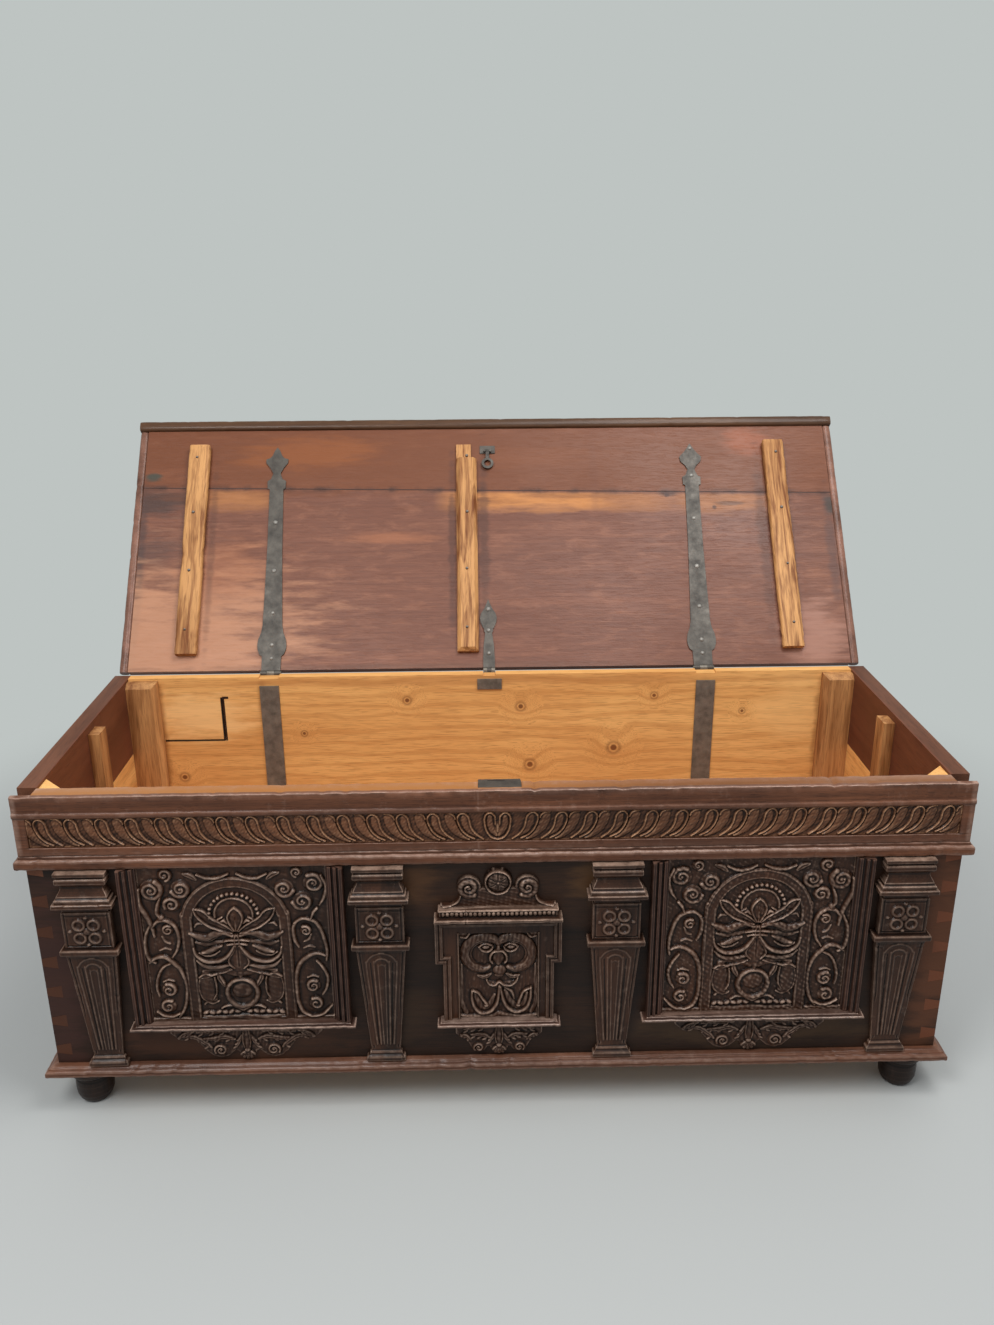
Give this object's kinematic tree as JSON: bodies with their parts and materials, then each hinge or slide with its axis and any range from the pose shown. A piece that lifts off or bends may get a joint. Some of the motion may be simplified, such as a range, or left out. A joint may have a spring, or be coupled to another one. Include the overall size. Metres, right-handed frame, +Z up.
{
  "type": "coffer chest",
  "caption": "Long low coffer with a carved front, pilasters, framed panels and gadrooned frieze, on turned feet; its plank lid stands open on wrought strap hinges.",
  "frame": {"origin": "on the floor under the middle of the bounding box of the chest with its lid open", "axes": "+X to the right along the carved front, +Y from the front towards the hinges, +Z up"},
  "size_m": [1.692, 1.0296, 1.1574],
  "materials": {
    "dark_walnut": "waxed dark walnut",
    "carved_walnut": "waxed carved walnut with dark hollows",
    "reddish_walnut": "worn reddish walnut",
    "lid_walnut": "unwaxed reddish brown boards",
    "pine": "bare aged pine",
    "honey_oak": "bare oak",
    "wrought_iron": "hammered dark iron"
  },
  "bodies": {
    "case": {"bottom_board_front": "pine", "bottom_board_rear": "pine", "foot_front_left": "dark_walnut", "foot_rear_left": "dark_walnut", "foot_front_right": "dark_walnut", "foot_rear_right": "dark_walnut", "front_board": "dark_walnut", "side_lower_left": "pine", "side_upper_left": "reddish_walnut", "side_lower_right": "pine", "side_upper_right": "reddish_walnut", "back_board": "pine", "rear_post_left": "honey_oak", "glue_block_left": "pine", "side_batten_left": "honey_oak", "rear_post_right": "honey_oak", "glue_block_right": "pine", "side_batten_right": "honey_oak", "plinth_front": "reddish_walnut", "plinth_left": "reddish_walnut", "plinth_right": "reddish_walnut", "belt_front": "reddish_walnut", "belt_left": "reddish_walnut", "belt_right": "reddish_walnut", "frieze_board": "carved_walnut", "pilaster_outer_left": "carved_walnut", "pilaster_inner_left": "carved_walnut", "pilaster_inner_right": "carved_walnut", "pilaster_outer_right": "carved_walnut", "panel_left": "carved_walnut", "stile_left_left": "dark_walnut", "stile_left_right": "dark_walnut", "sill_left": "dark_walnut", "panel_right": "carved_walnut", "stile_right_left": "dark_walnut", "stile_right_right": "dark_walnut", "sill_right": "dark_walnut", "middle_panel": "carved_walnut", "middle_frame": "dark_walnut", "middle_cornice": "carved_walnut", "middle_sill": "dark_walnut", "lower_strap_left": "wrought_iron", "lower_strap_right": "wrought_iron", "middle_hook": "wrought_iron", "lock_case": "wrought_iron"},
    "lid": {"lid_strap_left": "wrought_iron", "lid_strap_right": "wrought_iron", "lid_strap_middle": "wrought_iron", "lid_plank_rear": "lid_walnut", "lid_plank_front": "lid_walnut", "lid_moulding_front": "reddish_walnut", "lid_moulding_left": "reddish_walnut", "lid_moulding_right": "reddish_walnut", "lid_batten_left": "honey_oak", "lid_batten_right": "honey_oak", "lid_batten_middle": "honey_oak", "lock_staple": "wrought_iron"},
    "hasp": {"lock_hasp": "wrought_iron"},
    "peg": {"lock_peg": "wrought_iron"}
  },
  "joints": [
    {"name": "lid_hinge", "type": "hinge", "parent": "case", "child": "lid", "pos_m": [0, 0.11354, 0.6537], "axis": [1, 0, 0], "range_deg": [0, 127.5]},
    {"name": "hasp_swing", "type": "hinge", "parent": "lid", "child": "hasp", "pos_m": [-0.001, 0.44275, 1.08931], "axis": [-1, 0, 0], "range_deg": [0, 90]},
    {"name": "peg_slide", "type": "slide", "parent": "case", "child": "peg", "axis": [0, 1, 0], "range_m": [0, 0.0112]}
  ]
}
